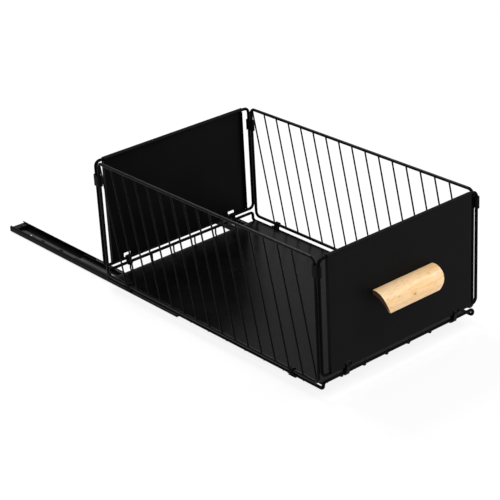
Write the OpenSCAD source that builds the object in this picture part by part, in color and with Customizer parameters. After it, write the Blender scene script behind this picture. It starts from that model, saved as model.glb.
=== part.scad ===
// Pull out cabinet basket: a wire basket with sheet metal ends on a pair of
// ball bearing slides that are screwed to a cabinet floor.
//
// Frame: X across, Y from the front to the back, Z up, millimetres.
// The origin lies midway between the slides, at the front ends of the fixed
// rails, on the cabinet floor. The basket is drawn pulled out.

/* [Basket] */
// Width between the centres of the corner wires
basket_w = 280; // [240:1:360]
// Depth between the centres of the front and rear frames
basket_d = 453; // [420:1:560]
// Height of the side panels between wire centres
basket_h = 173; // [120:1:240]
// Distance that the basket is pulled out from its closed place
pulled_out = 286; // [0:1:380]

/* [Wire] */
// Diameter of the frame wires
wire_d = 4.4; // [3.6:0.1:5]
// Diameter of the slanted wires
slat_d = 2.3; // [1.8:0.1:3]
// Diameter of the grid wires under the floor
grid_d = 2.4; // [1.8:0.1:3]
// Centre radius of the wire bends
bend_r = 7.5; // [5:0.5:12]
// Number of slanted wires in a side panel
slat_count = 16; // [8:1:18]
// Distance that a slanted wire leans to the front over its height
slat_lean = 39; // [10:1:60]
// Distance from a side panel's end wire to the first slanted wire
slat_margin = 2.8; // [2:0.1:5]
// Number of grid wires across the floor
cross_count = 11; // [7:2:13]
// Distance between neighbouring grid wires across the floor
cross_pitch = 37.6; // [30:0.2:40]
// Number of grid wires along the floor
long_count = 6; // [4:2:6]
// Distance between neighbouring grid wires along the floor
long_pitch = 40; // [30:0.1:41]

/* [Levels] */
// Height of the base rim's side wires above the grid wires across
rim_rise = 1.8; // [1.5:0.1:3]
// Height of the side panels' bottom wire above the base rim's side wire
panel_rise = 7.6; // [6:0.1:10]
// Height of the front frame's bottom wire above the side panels' bottom wire
frame_rise = 11.7; // [9:0.1:16]
// Height of the base rim's front end wire above its side wires
end_rise = 9; // [6.4:0.1:13]
// Height of the base rim's rear end wire above its side wires
rear_end_rise = 12.6; // [6.4:0.1:13]
// Gap between the front frame's corner wire and the side panel's end wire
corner_gap = 2.2; // [1.6:0.1:4]

/* [Sheets] */
// Thickness of the front and rear sheets
sheet_t = 1; // [0.8:0.1:1.5]
// Distance from the corner wire's centre to the sheet's edge
sheet_inset = 13; // [9:0.5:24]
// Depth of the folded side edges of a sheet
fold_d = 5.5; // [4:0.5:10]
// Thickness of the floor plate
floor_t = 1.2; // [0.8:0.1:2]
// Distance from the front and rear frames to the floor plate's edge
floor_inset = 10; // [10:0.5:30]

/* [Handle] */
// Length of the handle
handle_l = 107; // [60:1:160]
// Outer radius of the handle
handle_r = 20; // [16:0.1:26]
// Distance of the handle's round axis from the sheet
handle_axis_out = 3.9; // [0:0.1:8]
// Height of the handle's top above the front frame's bottom wire
handle_top = 90.7; // [60:0.1:100]
// Thickness of the handle where it meets the sheet
handle_root_t = 7; // [6:0.5:10]
// Thickness of the handle at its lip
handle_lip_t = 3; // [2:0.5:5]
// Height that the lip reaches below the handle's round axis
handle_drop = 8.8; // [1:0.1:12]
// Radius of the handle's ends, seen from the front
handle_end_r = 48.4; // [40:0.1:60]
// Distance between the two handle screws
handle_screw_pitch = 64; // [32:1:96]
// Diameter of the handle screws
handle_screw_d = 3; // [2.5:0.1:4]
// Length of the handle screws in the wood
handle_screw_l = 10; // [6:0.5:12]

/* [Slides] */
// Length of the fixed rails
rail_l = 410; // [400:1:450]
// Width of the fixed rails
rail_w = 27; // [27:0.5:32]
// Height of the fixed rails
rail_h = 9.5; // [9.5:0.1:12]
// Distance from the basket's corner wires in to the slides' centres
slide_inset = 22.5; // [20:0.5:40]
// Thickness of the fixed rails' steel
rail_t = 1.2; // [1:0.1:1.2]
// Thickness of the middle and inner rails' steel
runner_t = 1; // [0.8:0.1:1.2]
// Length of the middle rails
middle_l = 380; // [340:1:386]
// Length of the inner rails
inner_l = 395; // [360:1:395]
// Length of the lower ball cages
lower_cage_l = 190; // [120:1:200]
// Length of the upper ball cages
upper_cage_l = 180; // [120:1:190]
// Diameter of the lower balls
lower_ball_d = 3; // [2.6:0.1:3.2]
// Diameter of the upper balls
upper_ball_d = 2.4; // [2:0.1:2.6]
// Number of balls in one row of a cage
ball_count = 6; // [3:1:8]
// Diameter of the screw holes in the fixed rails
rail_hole_d = 5; // [4:0.1:6]
// Place of the middle screw hole, from the front end
rail_hole_middle = 169.5; // [150:0.5:190]
// Place of the rear screw hole, from the front end
rail_hole_rear = 374; // [350:0.5:380]
// Width of the brackets that hold the basket's wires down
bracket_w = 16; // [12:0.5:20]
// Thickness of the brackets
bracket_t = 1.2; // [1:0.1:1.5]
// Diameter of the bracket rivets
rivet_d = 3; // [2.5:0.1:3.6]

/* [Clips] */
// Length of a clip along its wires
clip_l = 16; // [8:0.5:16]
// Length of a side clip along the base rim
low_clip_l = 12.5; // [6:0.5:14]
// Length of the lower clips along the wires of the frames and panels
snap_l = 6; // [4:0.5:6]
// Thickness of a clip's wall around a wire
clip_wall = 1.7; // [1.2:0.1:2]
// Height of the front corner clips above the side panels' bottom wire
front_clip_z = 157.5; // [60:0.5:157.5]
// Height of the rear corner clips above the side panels' bottom wire
rear_clip_z = 146.5; // [60:0.5:157.5]
// Distance from a slanted wire's foot forward to a side clip's centre
side_clip_gap = 6.5; // [5.5:0.5:9]
// Distance from the outermost grid wire in to a front or rear bottom clip's centre
end_clip_gap = 2; // [1:0.1:8]

/* [Hidden] */

$fn = 32;
wire_black = [0.07, 0.07, 0.075];
sheet_black = [0.1, 0.1, 0.105];
rail_black = [0.08, 0.08, 0.085];
clip_black = [0.05, 0.05, 0.05];
steel = [0.6, 0.61, 0.63];
beech = [0.93, 0.8, 0.6];

// Clearances
fit_gap = 0.15; // between a wire and the clip or sheet around it
seat_gap = 0.1; // between a piece and the wire or rail it rests on
race_gap = 0.3; // between a ball and the race it rolls in
run_gap = 0.4; // between pieces of a slide that pass each other
pocket_gap = 0.2; // between a ball and its pocket in the cage
hole_gap = 0.1; // around a rivet or screw, on the radius
weld_gap = 0.1; // between crossed wires, where the real ones are welded
cut = 1; // how far a cutting shape runs past the surface it cuts

// Slide section, in a slide's own frame: x across, z up from the floor
rail_lip = 2.7;
rail_bend_r = 2.2;
ball_x = rail_w / 2 - rail_t - race_gap - lower_ball_d / 2;
ball_z = 5;
middle_half_w = ball_x - lower_ball_d / 2 - race_gap;
cage_t = 0.8;
cage_floor_t = 0.6;
lower_cage_z = rail_t + run_gap;
lower_cage_top = rail_h - rail_t - run_gap;
middle_z = lower_cage_z + cage_floor_t + run_gap;
middle_top = rail_h - 1.3;
runner_bend_r = 1.4;
upper_ball_x = middle_half_w - runner_t - race_gap - upper_ball_d / 2;
upper_cage_z = middle_z + runner_t + run_gap - 0.05;
upper_cage_top = middle_top - 0.2;
upper_ball_z = (upper_cage_z + cage_floor_t + upper_cage_top) / 2 + 0.1;
inner_half_w = upper_ball_x - upper_ball_d / 2 - race_gap;
inner_z = upper_cage_z + cage_floor_t + run_gap - 0.05;
inner_top = rail_h + run_gap - seat_gap;

// Slide positions along Y with the basket pulled out. A piece that runs
// between two rails moves by a fixed share of the basket's travel.
middle_share = 1 / 2;
lower_share = 1 / 4;
upper_share = 3 / 4;
slide_x = basket_w / 2 - slide_inset;
middle_closed_y = 8;
cage_closed_rear = 290;
inner_y = -pulled_out;
middle_y = middle_closed_y - pulled_out * middle_share;
lower_cage_y = cage_closed_rear - lower_cage_l - pulled_out * lower_share;
upper_cage_y = cage_closed_rear - upper_cage_l - pulled_out * upper_share;
stop_l = 12;
stop_y = rail_l - 2 - stop_l;
foot_l = 6;
foot_w = 12;
foot_reach = 3;
slot_pitch = 22;
slot_l = 10;
slot_w = 3.2;
press_depth = 0.6;
window_l = 16;
window_w = 8;

// Basket levels
wire_r = wire_d / 2;
grid_z = inner_top + seat_gap + grid_d / 2;
rim_z = grid_z + rim_rise;
side_z = rim_z + panel_rise;
end_z = rim_z + end_rise;
rear_end_z = rim_z + rear_end_rise;
frame_z = side_z + frame_rise;
top_z = side_z + basket_h;
long_z = grid_z + grid_d + weld_gap;
floor_z = long_z + grid_d / 2 + seat_gap;
corner_pitch = wire_d + corner_gap;
half_w = basket_w / 2;
front_overhang = 19.5;
basket_y = inner_y - front_overhang;
base_inset = 3.2;
base_x = half_w - base_inset;
end_y = 2;
end_bend_r = min(5, min(end_rise, rear_end_rise) / 2 - 0.15);
long_bend_r = 4;
stub = 1; // length of a welded wire beyond the wire that it crosses
long_end_y = end_y + wire_r + grid_d / 2 + weld_gap;
long_x = (long_count - 1) / 2 * long_pitch;
slat_pitch = (basket_d - 2 * corner_pitch - 2 * slat_margin - slat_lean) / (slat_count - 1);
slat_inset = 1;
function slat_foot(i) = basket_d - corner_pitch - slat_margin - i * slat_pitch - slat_lean;

// Clips
clip_r = wire_r + fit_gap + clip_wall;
low_clip_x = long_x - end_clip_gap;

// Sheets and handle
roll_in = wire_r + fit_gap;
roll_out = roll_in + sheet_t;
sheet_half_w = half_w - sheet_inset;
sheet_z = frame_z + 0.4;
notch_w = 12;
notch_h = 6.8;
handle_z = frame_z + handle_top;
handle_axis_z = handle_z - handle_r;
lip_z = handle_axis_z - handle_drop;
lip_out = handle_axis_out + sqrt(handle_r * handle_r - handle_drop * handle_drop) - handle_lip_t;
handle_out = handle_axis_out + handle_r;
hollow_top = handle_z - handle_root_t;
hollow_z = (hollow_top * hollow_top - lip_out * lip_out - lip_z * lip_z) / (2 * (hollow_top - lip_z));
hollow_r = hollow_top - hollow_z;
handle_screw_z = handle_z - handle_root_t / 2 - 0.9;
screw_head_d = 6;
screw_head_t = 1.8;

// ---------------------------------------------------------------- wire

function unit(v) = v / norm(v);

// A frame with its Z along the given direction, at the given point
module aim(at, along) {
  z = unit(along);
  x = unit(cross(abs(z.z) < 0.9 ? [0, 0, 1] : [1, 0, 0], z));
  y = cross(z, x);
  multmatrix([[x.x, y.x, z.x, at.x], [x.y, y.y, z.y, at.y], [x.z, y.z, z.z, at.z], [0, 0, 0, 1]])
    children();
}

// A straight wire between two points
module rod(from, to, d) {
  aim(from, to - from) cylinder(d = d, h = norm(to - from));
}

// Length that a bend of radius r takes from each leg of a corner
function bend_leg(a, b, c, r) = r * tan(acos(unit(b - a) * unit(c - b)) / 2);

// The round part of a wire where it turns at b on its way from a to c
module elbow(a, b, c, r, d) {
  u = unit(b - a);
  n = unit(cross(u, unit(c - b)));
  m = cross(n, u);
  centre = b - u * bend_leg(a, b, c, r) + m * r;
  multmatrix([
    [-m.x, u.x, n.x, centre.x], [-m.y, u.y, n.y, centre.y], [-m.z, u.z, n.z, centre.z], [0, 0, 0, 1]
  ])
    rotate_extrude(angle = acos(u * unit(c - b)), $fn = 64) translate([r, 0]) circle(d = d, $fn = 32);
}

// A wire along a route, with a round bend at each corner
module wire(route, r, d, closed = false) {
  n = len(route);
  last = closed ? n - 1 : n - 2;
  for (i = [0 : last]) {
    a = route[i];
    b = route[(i + 1) % n];
    u = unit(b - a);
    before = closed || i > 0 ? bend_leg(route[(i + n - 1) % n], a, b, r) : 0;
    after = closed || i < last ? bend_leg(a, b, route[(i + 2) % n], r) : 0;
    rod(a + u * before, b - u * after, d);
    if (after > 0) elbow(a, b, route[(i + 2) % n], r, d);
  }
}

// ---------------------------------------------------------------- basket

// Upright rectangle of wire across the basket at its front
module end_frame() {
  color(wire_black)
    wire([
      [-half_w, 0, frame_z], [half_w, 0, frame_z], [half_w, 0, top_z], [-half_w, 0, top_z]
    ], bend_r, wire_d, true);
}

// Side panel in the plane x = 0: a wire rectangle with slanted wires
module side_panel() {
  front = corner_pitch;
  rear = basket_d - corner_pitch;
  color(wire_black) union() {
    wire([[0, front, side_z], [0, rear, side_z], [0, rear, top_z], [0, front, top_z]], bend_r, wire_d, true);
    for (i = [0 : slat_count - 1]) {
      top = [0, rear - slat_margin - i * slat_pitch, top_z];
      foot = top - [0, slat_lean, basket_h];
      inset = unit(foot - top) * slat_inset;
      rod(top + inset, foot - inset, slat_d);
    }
  }
}

// A grid wire along the floor, with both ends bent up to the end wires
module long_wire(x) {
  front = long_end_y;
  rear = basket_d - long_end_y;
  wire([
    [x, front, end_z + stub], [x, front, long_z], [x, rear, long_z], [x, rear, rear_end_z + stub]
  ], long_bend_r, grid_d);
}

// Wire around the floor, low at the sides and raised across both ends
module base_rim() {
  rear_y = basket_d - end_y;
  color(wire_black)
    wire([
      [-base_x, end_y, rim_z], [-base_x, end_y, end_z], [base_x, end_y, end_z], [base_x, end_y, rim_z],
      [base_x, rear_y, rim_z], [base_x, rear_y, rear_end_z],
      [-base_x, rear_y, rear_end_z], [-base_x, rear_y, rim_z]
    ], end_bend_r, wire_d, true);
}

// Grid wires across the floor, with their ends set into the rim from below
module cross_wires() {
  reach = base_x + stub;
  color(wire_black) for (i = [0 : cross_count - 1]) {
    y = basket_d / 2 + (i - (cross_count - 1) / 2) * cross_pitch;
    difference() {
      rod([-reach, y, grid_z], [reach, y, grid_z], grid_d);
      for (x = [-base_x, base_x])
        rod([x, y - grid_d, rim_z], [x, y + grid_d, rim_z], wire_d + 2 * weld_gap);
    }
  }
}

module long_wires() {
  color(wire_black) for (i = [0 : long_count - 1]) long_wire(i * long_pitch - long_x);
}

module floor_plate() {
  half_x = base_x - clip_r - seat_gap;
  color(sheet_black)
    translate([0, floor_inset, floor_z])
      linear_extrude(floor_t) rounded_rect(-half_x, half_x, 0, basket_d - 2 * floor_inset, 4);
}

// Rectangle with round corners
module rounded_rect(x0, x1, y0, y1, r) {
  translate([x0 + r, y0]) square([x1 - x0 - 2 * r, y1 - y0]);
  translate([x0, y0 + r]) square([x1 - x0, y1 - y0 - 2 * r]);
  for (x = [x0 + r, x1 - r], y = [y0 + r, y1 - r]) translate([x, y]) circle(r);
}

// Section along Y and Z of a sheet that hangs over the frame's top wire
module sheet_section() {
  translate([-roll_out, sheet_z]) square([sheet_t, top_z - sheet_z]);
  translate([0, top_z]) difference() {
    circle(roll_out);
    circle(roll_in);
    translate([-roll_out - cut, -roll_out - cut]) square([2 * (roll_out + cut), roll_out + cut]);
  }
}

// Sheet on the outer side of the front frame, with side edges folded in
module end_sheet() {
  fold_bottom = frame_z + wire_r + fit_gap;
  fold_top = top_z - wire_r - fit_gap;
  difference() {
    union() {
      rotate([90, 0, 90]) translate([0, 0, -sheet_half_w]) linear_extrude(2 * sheet_half_w) sheet_section();
      for (x = [-sheet_half_w, sheet_half_w - sheet_t])
        translate([x, -roll_out, fold_bottom]) cube([sheet_t, fold_d, fold_top - fold_bottom]);
    }
    for (side = [-1, 1])
      translate([side * low_clip_x - notch_w / 2, -roll_out - cut, sheet_z - cut])
        cube([notch_w, roll_out + cut, notch_h + cut]);
  }
}

module front_sheet() {
  color(sheet_black) difference() {
    end_sheet();
    for (x = [-1, 1] * handle_screw_pitch / 2)
      translate([x, 0, handle_screw_z]) rotate([90, 0, 0])
        cylinder(d = handle_screw_d + 4 * hole_gap, h = roll_out + cut);
  }
}

// ---------------------------------------------------------------- handle

// Outline of the handle seen from the front, with ends that curve in below
module handle_outline() {
  half_l = handle_l / 2;
  intersection() {
    translate([-half_l, lip_z]) square([handle_l, handle_z - lip_z]);
    union() for (x = [-1, 1] * (half_l - handle_end_r))
      translate([x, handle_z]) circle(handle_end_r, $fn = 128);
  }
}

// Section of the handle: a rounded shell, thick at the sheet, thin at the
// lip. x is the distance out from the sheet, y is the height.
module handle_section() {
  difference() {
    translate([handle_axis_out, handle_axis_z]) circle(handle_r, $fn = 96);
    translate([0, hollow_z]) circle(hollow_r, $fn = 96);
    translate([-handle_r - cut, lip_z - handle_r]) square([handle_r + cut, 3 * handle_r]);
    translate([-cut, lip_z - handle_r - cut]) square([handle_out + 2 * cut, handle_r + cut]);
  }
}

module handle() {
  color(beech) translate([0, -roll_out, 0]) difference() {
    intersection() {
      translate([-handle_l / 2, 0, 0]) rotate([90, 0, -90]) mirror([0, 0, 1])
        linear_extrude(handle_l) handle_section();
      rotate([90, 0, 0]) linear_extrude(handle_out + cut) handle_outline();
    }
    for (x = [-1, 1] * handle_screw_pitch / 2)
      translate([x, cut, handle_screw_z]) rotate([90, 0, 0])
        cylinder(d = handle_screw_d + 2 * hole_gap, h = handle_screw_l + hole_gap + cut);
  }
}

// Pan head screws that come through the sheet into the handle
module handle_screws() {
  color(steel) for (x = [-1, 1] * handle_screw_pitch / 2)
    translate([x, -roll_in, handle_screw_z]) rotate([90, 0, 0]) difference() {
      union() {
        translate([0, 0, -screw_head_t]) cylinder(d = screw_head_d, h = screw_head_t);
        cylinder(d = handle_screw_d, h = sheet_t + handle_screw_l);
      }
      for (turn = [0, 90])
        translate([0, 0, -screw_head_t]) rotate(turn) cube([3, 0.7, 1.6], center = true);
    }
}

// ---------------------------------------------------------------- clips

// Clip around two wires that run along Z, one at the origin, one at x = pitch.
// At the first wire it reaches further, by the given length below.
module twin_clip(pitch, length, below = 0) {
  bore = wire_d + 2 * fit_gap;
  outer = 2 * clip_r;
  mouth = wire_d * 0.7;
  low = -length / 2 - below;
  color(clip_black) difference() {
    union() {
      translate([0, 0, low]) cylinder(d = outer, h = length + below);
      translate([pitch, 0, -length / 2]) cylinder(d = outer, h = length);
      translate([0, -outer / 2, -length / 2]) cube([pitch, outer * 0.8, length]);
    }
    for (x = [0, pitch]) translate([x, 0, low - cut]) {
      cylinder(d = bore, h = length + below + 2 * cut);
      translate([-mouth / 2, 0, 0]) cube([mouth, outer, length + below + 2 * cut]);
    }
  }
}

// Corner clip around the wires of the front frame and the left side panel
module corner_clip(z) {
  translate([-half_w, 0, side_z + z]) rotate(90) mirror([0, 1, 0]) twin_clip(corner_pitch, clip_l);
}

// Clip that joins the left side panel to the base rim, around wires along Y
module side_clip(y) {
  lean = atan2(panel_rise, base_inset);
  translate([-base_x, y, rim_z]) rotate([90, 0, 0]) rotate(180 - lean)
    twin_clip(norm([panel_rise, base_inset]), snap_l, low_clip_l - snap_l);
}

// Side clips, each in front of a slanted wire's foot
module left_side_clips() {
  for (i = [0, slat_count - 3]) side_clip(slat_foot(i) - side_clip_gap);
}

// Clips that join the base rim's end wire, at height z, and the frame above it.
// A groove in each lets the outermost grid wire's end pass.
module bottom_clips(z) {
  rise = frame_z - z;
  lean = atan2(rise, -end_y);
  for (side = [-1, 1]) difference() {
    translate([side * low_clip_x, end_y, z]) rotate([90, 0, 90]) rotate(lean)
      mirror([0, 1, 0]) twin_clip(norm([rise, end_y]), snap_l);
    translate([side * long_x, long_end_y, z - 2 * clip_r])
      cylinder(d = grid_d + 2 * hole_gap, h = 2 * clip_r + stub + hole_gap);
  }
}

// ---------------------------------------------------------------- slides

// Slide sections, seen along Y, with x across and y up
module outer_section() {
  half = rail_w / 2;
  difference() {
    rounded_rect(-half, half, 0, rail_h, rail_bend_r);
    rounded_rect(-half + rail_t, half - rail_t, rail_t, rail_h - rail_t, rail_bend_r - rail_t);
    translate([-half + rail_lip, rail_h / 2]) square([rail_w - 2 * rail_lip, rail_h]);
  }
}

module middle_section() {
  half = middle_half_w;
  high = middle_top + 2 * runner_bend_r;
  difference() {
    rounded_rect(-half, half, middle_z, high, runner_bend_r);
    rounded_rect(-half + runner_t, half - runner_t, middle_z + runner_t, high + cut, runner_bend_r - runner_t / 2);
    translate([-half - cut, middle_top]) square([2 * (half + cut), 2 * runner_bend_r + cut]);
  }
}

module inner_section() {
  half = inner_half_w;
  low = inner_z - 2 * runner_bend_r;
  difference() {
    rounded_rect(-half, half, low, inner_top, runner_bend_r);
    rounded_rect(-half + runner_t, half - runner_t, low - cut, inner_top - runner_t, runner_bend_r - runner_t / 2);
    translate([-half - cut, low - cut]) square([2 * (half + cut), 2 * runner_bend_r + cut]);
  }
}

module lower_cage_section() {
  square_between(-ball_x - cage_t / 2, ball_x + cage_t / 2, lower_cage_z, lower_cage_z + cage_floor_t);
  for (x = [-ball_x, ball_x])
    square_between(x - cage_t / 2, x + cage_t / 2, lower_cage_z, lower_cage_top);
}

module upper_cage_section() {
  x_out = upper_ball_x + cage_t / 2;
  square_between(-x_out, x_out, upper_cage_z, upper_cage_z + cage_floor_t);
  for (x = [-upper_ball_x, upper_ball_x])
    square_between(x - cage_t / 2, x + cage_t / 2, upper_cage_z, upper_cage_top);
}

module square_between(x0, x1, y0, y1) {
  translate([x0, y0]) square([x1 - x0, y1 - y0]);
}

// A bar with the given section, from y towards the back
module bar(y, length) {
  translate([0, y + length, 0]) rotate([90, 0, 0]) linear_extrude(length) children();
}

// A slot through a rail's floor, with round ends, long along Y
module floor_slot(y, length, width, z, high) {
  run = length - width;
  translate([0, y, z]) {
    for (end = [-run / 2, run / 2]) translate([0, end, 0]) cylinder(d = width, h = high);
    if (run > 0) translate([-width / 2, -run / 2, 0]) cube([width, run, high]);
  }
}

module outer_rail() {
  color(rail_black) difference() {
    bar(0, rail_l) outer_section();
    for (y = [rail_hole_middle, rail_hole_rear])
      translate([0, y, -cut]) cylinder(d = rail_hole_d, h = rail_t + 2 * cut);
    // Short marks pressed into the floor beside the screw holes
    for (y = [rail_hole_middle + slot_pitch, rail_l / 2 + 4 * slot_pitch, rail_hole_rear - 1.5 * slot_pitch])
      floor_slot(y, slot_l, slot_w, rail_t - press_depth, press_depth + cut);
    // Seat of the rear stop's peg
    translate([0, stop_y + stop_l / 2, -cut]) cylinder(d = 4, h = rail_t + 2 * cut);
  }
}

// Plastic stop that the slide meets when it is closed
module rear_stop() {
  half = rail_w / 2 - rail_t - seat_gap;
  color(clip_black) translate([0, stop_y, rail_t + seat_gap]) {
    difference() {
      bar(0, stop_l) rounded_rect(-half, half, 0, 6.6, rail_bend_r - rail_t);
      for (x = [-4.2, 4.2]) translate([x, -cut, 3.4]) rotate([-90, 0, 0]) cylinder(d = 3.4, h = 7 + cut);
      translate([-1.2, -cut, -cut]) cube([2.4, 6 + cut, 9]);
    }
    translate([0, stop_l / 2, -rail_t - seat_gap]) cylinder(d = 4 - 2 * hole_gap, h = rail_t + 2 * seat_gap);
  }
}

// Soft foot at the fixed rail's front end, with a tongue over its floor
module front_foot() {
  color(clip_black) union() {
    translate([-foot_w / 2, -foot_l, 0]) cube([foot_w, foot_l - seat_gap, rail_t + seat_gap]);
    translate([-foot_w / 2, -foot_l, rail_t + seat_gap]) cube([foot_w, foot_l + foot_reach, 0.9]);
  }
}

module middle_rail() {
  color(rail_black) difference() {
    bar(middle_y, middle_l) middle_section();
    // Windows that let a driver reach the screws below
    for (share = [0.25, 0.5, 0.8])
      floor_slot(middle_y + middle_l * share, window_l, window_w, middle_z - cut, runner_t + 2 * cut);
  }
}

// Places of the balls along a cage of the given length
function ball_places(length) = [for (i = [0 : ball_count - 1]) length * (i + 0.5) / ball_count];

// Cage with round pockets, and windows in its floor between them
module cage(y, length, x, z, ball_d, floor_z) {
  step = length / ball_count;
  difference() {
    translate([0, y, 0]) children();
    for (place = ball_places(length)) {
      translate([-x - cage_t, y + place, z]) rotate([0, 90, 0])
        cylinder(d = ball_d + 2 * pocket_gap, h = 2 * (x + cage_t));
      if (place < length - step)
        floor_slot(y + place + step / 2, step * 0.6, x, floor_z - cut, cage_floor_t + 2 * cut);
    }
  }
}

module lower_cage() {
  color(steel) cage(lower_cage_y, lower_cage_l, ball_x, ball_z, lower_ball_d, lower_cage_z)
    bar(0, lower_cage_l) lower_cage_section();
}

module upper_cage() {
  color(steel) cage(upper_cage_y, upper_cage_l, upper_ball_x, upper_ball_z, upper_ball_d, upper_cage_z)
    bar(0, upper_cage_l) upper_cage_section();
}

module balls(y, length, x, z, d) {
  color(steel) for (place = ball_places(length), side = [-1, 1])
    translate([side * x, y + place, z]) sphere(d = d, $fn = 24);
}

// Grid wires that carry a bracket, counted from the front
front_wires = [0, 1];
rear_wires = [cross_count - 3, cross_count - 2];
function cross_y(i) = basket_y + basket_d / 2 + (i - (cross_count - 1) / 2) * cross_pitch;
function rivet_y(wires) = (cross_y(wires[0]) + cross_y(wires[1])) / 2;

module inner_rail() {
  color(rail_black) difference() {
    bar(inner_y, inner_l) inner_section();
    for (wires = [front_wires, rear_wires])
      translate([0, rivet_y(wires), inner_top - runner_t - cut])
        cylinder(d = rivet_d + 2 * hole_gap, h = runner_t + 2 * cut);
  }
}

// Strap on an inner rail, arched over two grid wires to hold them down
module bracket(wires) {
  z = inner_top + seat_gap;
  channel_r = grid_d / 2 + seat_gap;
  arch_r = channel_r + bracket_t;
  reach = arch_r + 2;
  color(rail_black) difference() {
    union() {
      translate([-bracket_w / 2, cross_y(wires[0]) - reach, z])
        cube([bracket_w, cross_y(wires[1]) - cross_y(wires[0]) + 2 * reach, bracket_t]);
      for (i = wires) translate([-bracket_w / 2, cross_y(i), grid_z]) rotate([0, 90, 0])
        cylinder(r = arch_r, h = bracket_w);
    }
    for (i = wires) translate([-bracket_w / 2 - cut, cross_y(i), grid_z]) rotate([0, 90, 0])
      cylinder(r = channel_r, h = bracket_w + 2 * cut);
    for (i = wires) translate([-bracket_w / 2 - cut, cross_y(i) - channel_r, z - 2 * arch_r])
      cube([bracket_w + 2 * cut, 2 * channel_r, grid_z - z + 2 * arch_r]);
    translate([-bracket_w / 2 - cut, cross_y(wires[0]) - reach, z - 2 * arch_r])
      cube([bracket_w + 2 * cut, cross_y(wires[1]) - cross_y(wires[0]) + 2 * reach, 2 * arch_r]);
    translate([0, rivet_y(wires), z - cut]) cylinder(d = rivet_d + 2 * hole_gap, h = bracket_t + 2 * cut);
  }
}

// Rivet through a bracket and the inner rail's web
module rivet(y) {
  head_d = 5.5;
  head_t = 0.8;
  low = inner_top - runner_t;
  high = inner_top + seat_gap + bracket_t;
  translate([0, y, 0]) {
    translate([0, 0, low - head_t]) cylinder(d = inner_half_w * 1.1, h = head_t);
    translate([0, 0, low]) cylinder(d = rivet_d, h = high - low);
    translate([0, 0, high]) cylinder(d = head_d, h = head_t);
  }
}

module bracket_rivets() {
  color(steel) for (x = [-slide_x, slide_x], wires = [front_wires, rear_wires])
    translate([x, 0, 0]) rivet(rivet_y(wires));
}

// ---------------------------------------------------------------- placing

module left_slide() {
  translate([-slide_x, 0, 0]) children();
}

module right_slide() {
  translate([slide_x, 0, 0]) children();
}

module in_basket() {
  translate([0, basket_y, 0]) children();
}

module to_rear() {
  translate([0, basket_d, 0]) mirror([0, 1, 0]) children();
}

module to_right() {
  mirror([1, 0, 0]) children();
}

left_slide() outer_rail();  // left_outer_rail
right_slide() outer_rail();  // right_outer_rail
left_slide() rear_stop();  // left_rear_stop
right_slide() rear_stop();  // right_rear_stop
left_slide() front_foot();  // left_front_foot
right_slide() front_foot();  // right_front_foot
left_slide() middle_rail();  // left_middle_rail
right_slide() middle_rail();  // right_middle_rail
left_slide() lower_cage();  // left_lower_cage
right_slide() lower_cage();  // right_lower_cage
left_slide() balls(lower_cage_y, lower_cage_l, ball_x, ball_z, lower_ball_d);  // left_lower_balls
right_slide() balls(lower_cage_y, lower_cage_l, ball_x, ball_z, lower_ball_d);  // right_lower_balls
left_slide() upper_cage();  // left_upper_cage
right_slide() upper_cage();  // right_upper_cage
left_slide() balls(upper_cage_y, upper_cage_l, upper_ball_x, upper_ball_z, upper_ball_d);  // left_upper_balls
right_slide() balls(upper_cage_y, upper_cage_l, upper_ball_x, upper_ball_z, upper_ball_d);  // right_upper_balls
left_slide() inner_rail();  // left_inner_rail
right_slide() inner_rail();  // right_inner_rail
left_slide() bracket(front_wires);  // left_front_bracket
right_slide() bracket(front_wires);  // right_front_bracket
left_slide() bracket(rear_wires);  // left_rear_bracket
right_slide() bracket(rear_wires);  // right_rear_bracket
bracket_rivets();
in_basket() base_rim();
in_basket() cross_wires();
in_basket() long_wires();
in_basket() floor_plate();
in_basket() translate([-half_w, 0, 0]) side_panel();  // left_side_panel
in_basket() translate([half_w, 0, 0]) side_panel();  // right_side_panel
in_basket() end_frame();  // front_frame
in_basket() to_rear() end_frame();  // rear_frame
in_basket() front_sheet();
in_basket() to_rear() color(sheet_black) end_sheet();  // rear_sheet
in_basket() corner_clip(front_clip_z);  // left_front_corner_clip
in_basket() to_right() corner_clip(front_clip_z);  // right_front_corner_clip
in_basket() to_rear() corner_clip(rear_clip_z);  // left_rear_corner_clip
in_basket() to_rear() to_right() corner_clip(rear_clip_z);  // right_rear_corner_clip
in_basket() left_side_clips();
in_basket() to_right() left_side_clips();  // right_side_clips
in_basket() bottom_clips(end_z);  // front_bottom_clips
in_basket() to_rear() bottom_clips(rear_end_z);  // rear_bottom_clips
in_basket() handle();
in_basket() handle_screws();
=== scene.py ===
"""Looks of a pull out cabinet basket: black powder coated wire and sheet, a
beech handle, and a pair of ball bearing slides. The solids come from the
frame. This file gives them their finishes, rounds the handle's edges and sets
the stage. Lengths are in metres."""

import math

import bmesh
import bpy
from mathutils import Matrix, Vector


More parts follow.
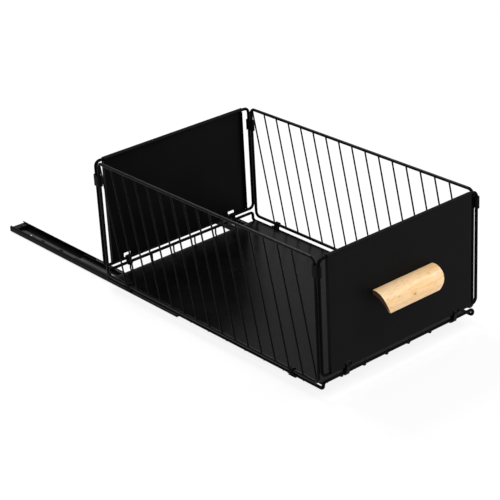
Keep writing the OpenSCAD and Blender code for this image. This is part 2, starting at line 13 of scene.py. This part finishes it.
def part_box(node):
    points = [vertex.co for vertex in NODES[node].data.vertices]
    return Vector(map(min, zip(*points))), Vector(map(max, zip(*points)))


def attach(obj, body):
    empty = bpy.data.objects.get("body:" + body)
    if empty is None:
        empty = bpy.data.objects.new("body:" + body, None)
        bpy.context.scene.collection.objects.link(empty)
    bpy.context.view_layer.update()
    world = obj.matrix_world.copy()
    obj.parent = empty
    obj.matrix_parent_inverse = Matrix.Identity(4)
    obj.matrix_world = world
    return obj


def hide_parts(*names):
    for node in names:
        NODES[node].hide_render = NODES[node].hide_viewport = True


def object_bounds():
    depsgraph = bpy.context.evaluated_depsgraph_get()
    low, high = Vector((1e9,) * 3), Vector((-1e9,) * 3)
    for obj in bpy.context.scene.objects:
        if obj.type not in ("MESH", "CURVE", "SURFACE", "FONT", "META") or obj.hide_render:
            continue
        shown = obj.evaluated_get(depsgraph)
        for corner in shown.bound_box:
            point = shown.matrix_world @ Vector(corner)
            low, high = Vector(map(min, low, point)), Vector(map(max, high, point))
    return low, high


bl_info = {
    "name": "Pull out cabinet basket",
    "version": (1, 0, 0),
    "blender": (4, 5, 0),
    "location": "3D View > Sidebar > Basket",
    "description": "Finishes, handle and stage of a pull out cabinet basket",
    "category": "Object",
}

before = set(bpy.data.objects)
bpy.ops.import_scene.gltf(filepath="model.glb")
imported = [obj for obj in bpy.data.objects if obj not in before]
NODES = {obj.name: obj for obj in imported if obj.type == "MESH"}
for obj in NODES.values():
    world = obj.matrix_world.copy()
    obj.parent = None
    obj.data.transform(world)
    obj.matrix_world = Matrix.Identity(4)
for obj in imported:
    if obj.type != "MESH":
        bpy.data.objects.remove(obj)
SOLID_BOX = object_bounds()
MM = 0.001
SIDES = ("left", "right")

# The camera of the photograph, solved from the box of the basket.
CAMERA_PLACE = (-1.3703, -1.6694, 1.0858)
CAMERA_RIGHT = (0.7551985, -0.6536413, -0.0492771)
CAMERA_UP = (0.3153785, 0.2964178, 0.9014837)
CAMERA_BACK = (-0.5746404, -0.6963401, 0.4299987)
CAMERA_REACH = 50.0
LENS_MM = 122.49
SENSOR_MM = 36.0

# Soft boxes: place, the point that each faces, its width and its power in watts.
LAMPS = {
    "rear_key": ((0.1, 1.3, 2.1), (0.0, 0.0, 0.0), 0.7, 42.0),
    "front_key": ((1.5, -1.35, 1.75), (0.0, -0.3, 0.1), 0.8, 23.0),
    "top_key": ((0.0, -0.8, 2.3), (0.0, -0.3, 0.1), 0.8, 13.0),
    "front_fill": ((-0.6, -2.4, 1.1), (0.0, 0.0, 0.1), 1.4, 8.0),
}

# The white world's strength as a light, and where it is seen.
WORLD_LIGHT = 0.46
WORLD_SHOWN = 1.0
WHITE = (1.0, 1.0, 1.0, 1.0)

# The floor: its two greys, how much of its look is plain white, where the rest
# shows the shadow, and how far it lies below the rails.
FLOOR_DARK = (0.86, 0.86, 0.86, 1.0)
FLOOR_LIGHT = (0.9, 0.9, 0.9, 1.0)
FLOOR_GLOW = 0.87
FLOOR_DROP = 0.2 * MM

# The slides: steel thickness of the fixed rail and of the middle rail, how far
# out their middles stand, and the height of the floors inside them.
RAIL_THICKNESS = 1.2 * MM
RUNNER_THICKNESS = 1.0 * MM
RAIL_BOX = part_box("right_outer_rail")
RAIL_MIDDLE = (RAIL_BOX[0].x + RAIL_BOX[1].x) / 2
RAIL_FLOOR = RAIL_BOX[0].z + RAIL_THICKNESS
RUNNER_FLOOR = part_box("right_middle_rail")[0].z + RUNNER_THICKNESS

# The painted sheen on the rail floors, greyed as if by rubbing: its edges across
# the rails, the heights between which it begins and ends, and how level the steel has to lie.
RUB_SHEEN_INNER_EDGE = RAIL_MIDDLE - 3.0 * MM
RUB_SHEEN_OUTER_EDGE = RAIL_MIDDLE + 6.5 * MM
RUB_SHEEN_FADE = 1.5 * MM
RUB_SHEEN_BEGINS = (RAIL_FLOOR * 0.75, RAIL_FLOOR * 0.95)
RUB_SHEEN_ENDS = (RUNNER_FLOOR + 0.2 * MM, RUNNER_FLOOR + 0.6 * MM)
RUB_SHEEN_LEVEL = (0.7, 0.95)

# Grain of the powder coat on wire and on sheet.
WIRE_GRAIN = 0.9 * MM
SHEET_GRAIN = 0.7 * MM

# The handle: edges over this angle are rounded, in so many steps, and the
# copied mesh is joined where points lie this close and faces this flat.
SHARP_ANGLE = math.radians(50)
EDGE_STEPS = 3
MERGE_REACH = 0.002 * MM
FLAT_ANGLE = math.radians(0.5)

# Knots of the handle: place, radius and darkness.
HANDLE_KNOTS = (
    ((-0.0021, -0.3327, 0.1067), 1.6 * MM, 0.9),
    ((-0.0285, -0.3310, 0.1116), 0.9 * MM, 0.5),
)

# A noise swings around its middle value, mostly within its clouding stretch.
NOISE_MIDDLE = 0.5
NOISE_ROUGHNESS = 0.55
CLOUDING = (0.3, 0.7)


# ------------------------------------------------------------------ shading


class Shade:
    """One socket of a material, so that shader maths reads as plain sums."""

    def __init__(self, paint, socket):
        self.paint = paint
        self.socket = socket

    def _sum(self, operation, first, second):
        return self.paint.node("ShaderNodeMath", {"operation": operation}, {0: first, 1: second})

    def __add__(self, other):
        return self._sum("ADD", self, other)

    __radd__ = __add__

    def __sub__(self, other):
        return self._sum("SUBTRACT", self, other)

    def __rsub__(self, other):
        return self._sum("SUBTRACT", other, self)

    def __mul__(self, other):
        return self._sum("MULTIPLY", self, other)

    __rmul__ = __mul__

    def __truediv__(self, other):
        return self._sum("DIVIDE", self, other)

    def larger(self, other):
        """The larger of two values."""
        return self._sum("MAXIMUM", self, other)

    def size(self):
        """The value without its sign."""
        return self.larger(0.0 - self)

    def swing(self, reach):
        """A noise as a change around zero, of that reach from end to end."""
        return (self - NOISE_MIDDLE) * reach


class Paint:
    """A material or a world under construction."""

    def __init__(self, owner, output_kind="ShaderNodeOutputMaterial"):
        self.owner = owner
        owner.use_nodes = True
        self.tree = owner.node_tree
        self.tree.nodes.clear()
        self.output = self.tree.nodes.new(output_kind)

    @classmethod
    def called(cls, name):
        """A new material with that name."""
        return cls(bpy.data.materials.new(name))

    def node(self, kind, settings=None, values=None, output=0):
        """A node of that type with its settings and its sockets' values or links."""
        made = self.tree.nodes.new(kind)
        for key, value in (settings or {}).items():
            setattr(made, key, value)
        for key, value in (values or {}).items():
            if isinstance(value, Shade):
                self.tree.links.new(value.socket, made.inputs[key])
            else:
                made.inputs[key].default_value = value
        return Shade(self, made.outputs[output])

    def place(self):
        """The point on the piece, in the object's own coordinates."""
        return self.node("ShaderNodeTexCoord", output="Object")

    def facing(self):
        """The surface's own direction on the piece."""
        return self.node("ShaderNodeTexCoord", output="Normal")

    def parts(self, vector):
        """The X, Y and Z values of a vector."""
        split = self.node("ShaderNodeSeparateXYZ", None, {0: vector})
        return tuple(Shade(self, split.socket.node.outputs[axis]) for axis in range(3))

    def stretched(self, factors, turn=(0.0, 0.0, 0.0)):
        """The place with its axes scaled, so that a pattern runs along one of them."""
        values = {"Vector": self.place(), "Scale": factors, "Rotation": turn}
        return self.node("ShaderNodeMapping", {"vector_type": "POINT"}, values)

    def distance(self, point, factors):
        """How far a place is from a point, with each axis weighed by a factor."""
        weighed = tuple(part * factor for part, factor in zip(point, factors))
        values = {0: self.stretched(factors), 1: weighed}
        return self.node("ShaderNodeVectorMath", {"operation": "DISTANCE"}, values, output="Value")

    def noise(self, scale, detail, vector=None, distortion=0.0):
        """A noise with that many grains to the metre, and its finer layers."""
        values = {"Vector": vector or self.place(), "Scale": scale, "Detail": detail}
        values.update({"Roughness": NOISE_ROUGHNESS, "Distortion": distortion})
        return self.node("ShaderNodeTexNoise", None, values)

    def between(self, value, low, high):
        """The value's share of the way from low to high, held within 0 and 1."""
        values = {"Value": value, "From Min": low, "From Max": high}
        return self.node("ShaderNodeMapRange", {"clamp": True}, values)

    def held(self, value):
        """The value held within 0 and 1."""
        return self.between(value, 0.0, 1.0)

    def blend(self, share, first, second):
        """The first colour where the share is 0 and the second where it is 1."""
        settings = {"data_type": "RGBA", "blend_type": "MIX"}
        return self.node("ShaderNodeMix", settings, {0: share, 6: first, 7: second}, output=2)

    def bump(self, height, depth, strength):
        """The surface's direction as a relief of that depth bends it."""
        values = {"Height": height, "Distance": depth, "Strength": strength}
        return self.node("ShaderNodeBump", None, values)

    def seen(self):
        """1 for rays that show a surface: the camera's, and those off metal and through glass."""
        camera, glossy, through = (
            self.node("ShaderNodeLightPath", output=f"Is {ray} Ray")
            for ray in ("Camera", "Glossy", "Transmission")
        )
        return camera.larger(glossy).larger(through)

    def close(self, surface):
        """Ends the tree with a surface shader."""
        self.tree.links.new(surface.socket, self.output.inputs["Surface"])
        return self.owner

    def finish(self, Specular=None, **sockets):
        """Closes the material. Keys are the shader's socket names with _ for a space."""
        values = {key.replace("_", " "): value for key, value in sockets.items()}
        if Specular is not None:
            values["Specular IOR Level"] = Specular
        return self.close(self.node("ShaderNodeBsdfPrincipled", None, values))


def rgba(colour, factor=1.0):
    """A colour with its brightness changed, as four values."""
    return tuple(min(1.0, part * factor) for part in tuple(colour)[:3]) + (1.0,)


def powder_coat(name, colour, roughness, gloss, grain):
    """Baked powder coat: fine orange peel, slow unevenness, faint scuffs."""
    paint = Paint.called(name)
    peel = paint.noise(1.0 / grain, detail=2.0)
    cloud = paint.noise(22.0, detail=4.0)
    scuff_lines = paint.noise(160.0, detail=3.0, vector=paint.stretched((1.0, 0.12, 1.0)), distortion=0.6)
    scuffs = paint.between(scuff_lines, 0.66, 0.78) * paint.between(cloud, 0.5, 0.7)
    body = paint.blend(paint.between(cloud, *CLOUDING), rgba(colour, 0.85), rgba(colour, 1.25))
    return paint.finish(
        Base_Color=paint.blend(scuffs * 0.5, body, rgba(colour, 2.6)),
        Roughness=paint.held(roughness + cloud.swing(0.16) + peel.swing(0.1) + scuffs * 0.12),
        Specular=gloss,
        Normal=paint.bump(peel, depth=grain * 0.05, strength=0.5),
    )


def rail_coat(name, colour, sheen_colour, roughness, gloss):
    """Dipped black coat on rolled steel, with roll marks, and a painted sheen on the
    rails' up-facing floors, greyed as if by rubbing, but not down in their pressed marks."""
    paint = Paint.called(name)
    roll = paint.noise(520.0, detail=3.0, vector=paint.stretched((1.0, 0.02, 1.0)))
    cloud = paint.noise(35.0, detail=4.0)
    speck = paint.noise(900.0, detail=1.0)
    streaks = paint.between(roll, 0.58, 0.74) * paint.between(cloud, 0.45, 0.65)
    body = paint.blend(paint.between(cloud, *CLOUDING), rgba(colour, 0.8), rgba(colour, 1.3))
    body = paint.blend(streaks * 0.6, body, rgba(colour, 3.2))
    across, _, height = paint.parts(paint.place())
    _, _, upward = paint.parts(paint.facing())
    # Painted sheen: a lighter strip on the up-facing rail floors stands in for their lit sheen, partly
    # rubbing wear.
    rub_sheen = paint.between(across.size(), RUB_SHEEN_INNER_EDGE - RUB_SHEEN_FADE, RUB_SHEEN_INNER_EDGE)
    rub_sheen = rub_sheen * paint.between(across.size(), RUB_SHEEN_OUTER_EDGE + RUB_SHEEN_FADE, RUB_SHEEN_OUTER_EDGE)
    rub_sheen = rub_sheen * paint.between(height, *RUB_SHEEN_BEGINS)
    rub_sheen = rub_sheen * paint.between(height, *reversed(RUB_SHEEN_ENDS))
    rub_sheen = rub_sheen * paint.between(upward, *RUB_SHEEN_LEVEL) * (0.75 + roll.swing(0.8) + cloud.swing(0.6))
    return paint.finish(
        Base_Color=paint.blend(paint.held(rub_sheen), body, rgba(sheen_colour)),
        Roughness=paint.held(roughness + roll.swing(0.2) + speck.swing(0.08)),
        Specular=gloss,
        Normal=paint.bump(roll * 0.6 + speck * 0.4, depth=0.03 * MM, strength=0.5),
    )


def moulded_nylon(name, colour, roughness, gloss):
    """Black moulded clip plastic with a fine spark-eroded grain."""
    paint = Paint.called(name)
    grain = paint.noise(2400.0, detail=2.0)
    flow = paint.noise(120.0, detail=3.0, vector=paint.stretched((1.0, 1.0, 0.3)))
    return paint.finish(
        Base_Color=paint.blend(paint.between(flow, 0.35, 0.65), rgba(colour, 0.8), rgba(colour, 1.4)),
        Roughness=roughness + flow.swing(0.2) + grain.swing(0.12),
        Specular=gloss,
        Normal=paint.bump(grain, depth=0.02 * MM, strength=0.6),
    )


def zinc_steel(name, colour, roughness):
    """Bright zinc plated steel with fine drawing lines and cloudy passivation."""
    paint = Paint.called(name)
    lines = paint.noise(1500.0, detail=2.0, vector=paint.stretched((1.0, 0.03, 1.0)))
    cloud = paint.noise(90.0, detail=4.0)
    return paint.finish(
        Base_Color=paint.blend(paint.between(cloud, *CLOUDING), rgba(colour, 0.8), rgba(colour, 1.05)),
        Metallic=1.0,
        Roughness=roughness + lines.swing(0.2) + cloud.swing(0.12),
        Normal=paint.bump(lines, depth=0.01 * MM, strength=0.5),
    )


def beech(name, light, dark, knot_colour, end_shade_colour, roughness, gloss, knots):
    """Lacquered beech: soft grain along X, short flecks, small knots, and end faces
    painted very dark, partly end grain and mostly painted shade. Each knot is its place, its radius and its
    darkness."""
    paint = Paint.called(name)
    along = paint.stretched((0.07, 1.0, 1.0), turn=(0.0, math.radians(1.5), 0.0))
    years = paint.noise(230.0, detail=3.0, vector=along, distortion=0.35)
    fibre = paint.noise(1600.0, detail=3.0, vector=paint.stretched((0.04, 1.0, 1.0)))
    patch = paint.noise(30.0, detail=2.0, vector=paint.stretched((0.6, 1.0, 1.0)))
    stripe = paint.between(years, 0.44, 0.64) * 0.6 + paint.between(patch, 0.38, 0.68) * 0.45
    wood = paint.blend(stripe + fibre.swing(0.5), rgba(light), rgba(dark))

    fleck_noise = paint.noise(700.0, detail=1.0, vector=paint.stretched((0.2, 1.0, 1.0)))
    wood = paint.blend(paint.between(fleck_noise, 0.6, 0.68) * 0.6, wood, rgba(dark, 0.7))

    wobble = paint.noise(700.0, detail=2.0).swing(1.2)
    for place, radius, darkness in knots:
        far = paint.distance(place, (0.55, 1.0, 1.0)) / radius + wobble
        halo = (1.0 - paint.between(far, 1.0, 3.2)) * darkness
        core = (1.0 - paint.between(far, 0.5, 1.1)) * darkness
        wood = paint.blend(halo * 0.45, wood, rgba(dark, 0.85))
        wood = paint.blend(core, wood, rgba(knot_colour))

    # Painted shade: the faces at the handle's ends are painted very dark, darker than end grain alone.
    lengthwise, _, _ = paint.parts(paint.facing())
    end_shade_share = paint.between(lengthwise.size(), 0.72, 0.9)
    rings = paint.noise(420.0, detail=3.0, vector=paint.stretched((1.0, 1.0, 2.2)))
    end_grain_shade = paint.blend(paint.between(rings, 0.35, 0.65), rgba(end_shade_colour, 0.85), rgba(end_shade_colour, 1.1))
    return paint.finish(
        Base_Color=paint.blend(end_shade_share, wood, end_grain_shade),
        Roughness=roughness + fibre.swing(0.16) + end_shade_share * 0.2,
        Specular=gloss,
        Normal=paint.bump(fibre * 0.6 + years * 0.4, depth=0.03 * MM, strength=0.6),
    )


def dress(names, material):
    """Gives a finish to nodes of the frame."""
    for name in names:
        for slot in NODES[name].material_slots:
            slot.material = material


def both(*pieces):
    """Left and right names of pieces that come in pairs."""
    return [f"{side}_{piece}" for side in SIDES for piece in pieces]


# ------------------------------------------------------------------ meshes


def object_from(shape, name, material):
    """A new object from a finished bmesh."""
    mesh = bpy.data.meshes.new(name)
    shape.to_mesh(mesh)
    shape.free()
    mesh.materials.append(material)
    made = bpy.data.objects.new(name, mesh)
    bpy.context.collection.objects.link(made)
    return made


def merged_copy(node):
    """A bmesh of a node's shape with its loose triangles joined."""
    shape = bmesh.new()
    shape.from_mesh(NODES[node].data)
    bmesh.ops.remove_doubles(shape, verts=shape.verts[:], dist=MERGE_REACH)
    bmesh.ops.dissolve_limit(shape, angle_limit=FLAT_ANGLE, verts=shape.verts[:], edges=shape.edges[:])
    return shape


def round_edges(shape, radius):
    """Rounds the sharp edges of a bmesh."""
    sharp = [
        edge for edge in shape.edges
        if len(edge.link_faces) == 2 and edge.calc_face_angle(0.0) > SHARP_ANGLE
    ]
    bmesh.ops.bevel(
        shape, geom=sharp, offset=radius, offset_type="OFFSET", segments=EDGE_STEPS,
        profile=0.5, affect="EDGES", material=-1, clamp_overlap=True,
    )


# ------------------------------------------------------------------ settings


def colour_setting(label, words, value):
    """A colour that the sidebar shows."""
    return bpy.props.FloatVectorProperty(
        name=label, description=words, subtype="COLOR", size=3, min=0.0, max=1.0, default=value
    )


def length_setting(label, words, value):
    """A length that the sidebar shows."""
    return bpy.props.FloatProperty(name=label, description=words, unit="LENGTH", min=0.0, default=value)


class BasketFinish(bpy.types.PropertyGroup):
    """Colours of the basket's finishes"""

    wire: colour_setting("Wire", "Powder coat of the wires", (0.0013, 0.0013, 0.0014))
    sheet: colour_setting("Sheet", "Powder coat of the front and rear sheets", (0.0032, 0.0032, 0.0034))
    floor: colour_setting("Floor plate", "Powder coat of the floor plate", (0.0016, 0.0016, 0.0017))
    rail: colour_setting("Rail", "Coat of the slides", (0.0013, 0.0013, 0.0014))
    # Painted sheen of the rail floors, partly rubbing wear.
    rail_sheen: colour_setting("Rubbed rail", "Coat of the slides where it is rubbed", (0.06, 0.06, 0.062))
    clip: colour_setting("Clip", "Plastic of the clips", (0.0014, 0.0014, 0.0014))
    steel: colour_setting("Steel", "Plated steel of cages, balls and rivets", (0.6, 0.61, 0.63))
    wood_light: colour_setting("Light wood", "Light grain of the handle", (0.88, 0.65, 0.415))
    wood_dark: colour_setting("Dark wood", "Dark grain of the handle", (0.84, 0.5, 0.19))
    wood_knot: colour_setting("Knots", "Knots of the handle", (0.45, 0.17, 0.04))
    # Very dark: partly end grain and mostly painted shade on the handle's ends.
    wood_end_shade: colour_setting("End wood", "End grain of the handle", (0.055, 0.02, 0.007))


class BasketSizes(bpy.types.PropertyGroup):
    """Small sizes that only the looks need"""

    edge: length_setting("Handle edge", "Rounding of the handle's edges", 1.0 * MM)
    floor_reach: length_setting("Floor", "Half width of the stage's floor", 6.0)


def finish():
    """The colours as they are set."""
    return bpy.context.scene.basket_finish


def sizes():
    """The sizes as they are set."""
    return bpy.context.scene.basket_sizes


# ------------------------------------------------------------------ operators


class BASKET_OT_wires(bpy.types.Operator):
    """Coats the wire frames, panels and floor grid"""

    bl_idname = "basket.wires"
    bl_label = "Wires"

    def execute(self, context):
        panels = powder_coat("panel_coat", finish().wire, roughness=0.3, gloss=0.055, grain=WIRE_GRAIN)
        frames = powder_coat("frame_coat", finish().wire, roughness=0.4, gloss=0.02, grain=WIRE_GRAIN)
        dress(both("side_panel"), panels)
        dress(["front_frame", "rear_frame", "base_rim", "cross_wires", "long_wires"], frames)
        return {"FINISHED"}


class BASKET_OT_sheets(bpy.types.Operator):
    """Coats the front and rear sheets and the floor plate"""

    bl_idname = "basket.sheets"
    bl_label = "Sheets"

    def execute(self, context):
        sheets = powder_coat("sheet_coat", finish().sheet, roughness=0.5, gloss=0.038, grain=SHEET_GRAIN)
        floor = powder_coat("floor_coat", finish().floor, roughness=0.25, gloss=0.045, grain=SHEET_GRAIN)
        dress(["front_sheet", "rear_sheet"], sheets)
        dress(["floor_plate"], floor)
        return {"FINISHED"}


class BASKET_OT_slides(bpy.types.Operator):
    """Finishes the rails, brackets, cages, balls and fasteners"""

    bl_idname = "basket.slides"
    bl_label = "Slides"

    def execute(self, context):
        coat = rail_coat("rail_coat", finish().rail, finish().rail_sheen, roughness=0.4, gloss=0.035)
        dress(both("outer_rail", "middle_rail", "inner_rail", "front_bracket", "rear_bracket"), coat)
        dress(both("lower_cage", "upper_cage"), zinc_steel("cage_zinc", finish().steel, roughness=0.34))
        dress(both("lower_balls", "upper_balls"), zinc_steel("ball_polish", finish().steel, roughness=0.12))
        fasteners = zinc_steel("fastener_zinc", finish().steel, roughness=0.3)
        dress(["bracket_rivets", "handle_screws"], fasteners)
        return {"FINISHED"}


class BASKET_OT_clips(bpy.types.Operator):
    """Finishes the plastic clips, stops and feet"""

    bl_idname = "basket.clips"
    bl_label = "Clips"

    def execute(self, context):
        nylon = moulded_nylon("clip_nylon", finish().clip, roughness=0.42, gloss=0.04)
        dress(both("front_corner_clip", "rear_corner_clip", "side_clips", "rear_stop", "front_foot"), nylon)
        dress(["front_bottom_clips", "rear_bottom_clips"], nylon)
        return {"FINISHED"}


class BASKET_OT_handle(bpy.types.Operator):
    """Makes the wooden handle with rounded edges"""

    bl_idname = "basket.handle"
    bl_label = "Handle"

    def execute(self, context):
        colours = (finish().wood_light, finish().wood_dark, finish().wood_knot, finish().wood_end_shade)
        wood = beech("handle_beech", *colours, roughness=0.42, gloss=0.6, knots=HANDLE_KNOTS)
        shape = merged_copy("handle")
        round_edges(shape, sizes().edge)
        for face in shape.faces:
            face.smooth = True
        made = object_from(shape, "handle_wood", wood)
        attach(made, "basket")
        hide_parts("handle")
        return {"FINISHED"}


class BASKET_OT_stage(bpy.types.Operator):
    """Sets the floor, the lights and the photograph's camera"""

    bl_idname = "basket.stage"
    bl_label = "Stage"

    def execute(self, context):
        self.floor()
        self.sky(context)
        self.lamps()
        self.camera(context)
        return {"FINISHED"}

    def floor(self):
        """Pale floor that looks white to the camera and keeps the shadow."""
        paint = Paint.called("floor_pale")
        colour = paint.blend(paint.noise(3.0, detail=2.0), FLOOR_DARK, FLOOR_LIGHT)
        matt = paint.node("ShaderNodeBsdfDiffuse", None, {"Color": colour})
        glow = paint.node("ShaderNodeEmission", None, {"Color": WHITE, "Strength": 1.0})
        white_share = paint.seen() * FLOOR_GLOW
        pale = paint.close(paint.node("ShaderNodeMixShader", None, {0: white_share, 1: matt, 2: glow}))
        shape = bmesh.new()
        bmesh.ops.create_grid(shape, x_segments=1, y_segments=1, size=sizes().floor_reach)
        made = object_from(shape, "floor", pale)
        made.location = (0.0, 0.0, SOLID_BOX[0][2] - FLOOR_DROP)

    def sky(self, context):
        """A white world for what is seen, and a plainer one for the light."""
        context.scene.world = bpy.data.worlds.new("studio")
        paint = Paint(context.scene.world, "ShaderNodeOutputWorld")
        lit = paint.node("ShaderNodeBackground", None, {"Color": WHITE, "Strength": WORLD_LIGHT})
        shown = paint.node("ShaderNodeBackground", None, {"Color": WHITE, "Strength": WORLD_SHOWN})
        paint.close(paint.node("ShaderNodeMixShader", None, {0: paint.seen(), 1: lit, 2: shown}))

    def lamps(self):
        """Soft boxes high behind, high at the front right and overhead, and a low one in front."""
        for name, (place, aim, width, power) in LAMPS.items():
            data = bpy.data.lights.new(name, "AREA")
            data.energy = power
            data.size = width
            lamp = bpy.data.objects.new(name, data)
            lamp.location = place
            lamp.rotation_euler = (Vector(aim) - Vector(place)).to_track_quat("-Z", "Y").to_euler()
            bpy.context.collection.objects.link(lamp)

    def camera(self, context):
        """The photograph's camera and its plain colours."""
        data = bpy.data.cameras.new("photo_camera")
        data.lens = LENS_MM
        data.sensor_width = SENSOR_MM
        data.clip_end = CAMERA_REACH
        made = bpy.data.objects.new("photo_camera", data)
        turn = Matrix((CAMERA_RIGHT, CAMERA_UP, CAMERA_BACK)).transposed().to_4x4()
        made.matrix_world = Matrix.Translation(CAMERA_PLACE) @ turn
        bpy.context.collection.objects.link(made)
        context.scene.camera = made
        context.scene.view_settings.view_transform = "Standard"


class BASKET_PT_panel(bpy.types.Panel):
    """Buttons and settings for the basket"""

    bl_idname = "BASKET_PT_panel"
    bl_label = "Cabinet basket"
    bl_space_type = "VIEW_3D"
    bl_region_type = "UI"
    bl_category = "Basket"

    def draw(self, context):
        for operator in OPERATORS:
            self.layout.operator(operator.bl_idname)
        for group in (context.scene.basket_finish, context.scene.basket_sizes):
            for key in group.__annotations__:
                self.layout.prop(group, key)


OPERATORS = (
    BASKET_OT_stage,
    BASKET_OT_wires,
    BASKET_OT_sheets,
    BASKET_OT_slides,
    BASKET_OT_clips,
    BASKET_OT_handle,
)
CLASSES = (BasketFinish, BasketSizes) + OPERATORS + (BASKET_PT_panel,)


def register():
    """Adds the classes and their settings to Blender."""
    for one in CLASSES:
        bpy.utils.register_class(one)
    bpy.types.Scene.basket_finish = bpy.props.PointerProperty(type=BasketFinish)
    bpy.types.Scene.basket_sizes = bpy.props.PointerProperty(type=BasketSizes)


def unregister():
    """Takes the settings and classes out again."""
    del bpy.types.Scene.basket_finish
    del bpy.types.Scene.basket_sizes
    for one in reversed(CLASSES):
        bpy.utils.unregister_class(one)


def main():
    """Builds everything in order."""
    register()
    for operator in OPERATORS:
        group, name = operator.bl_idname.split(".")
        getattr(getattr(bpy.ops, group), name)()


if __name__ == "__main__":
    main()
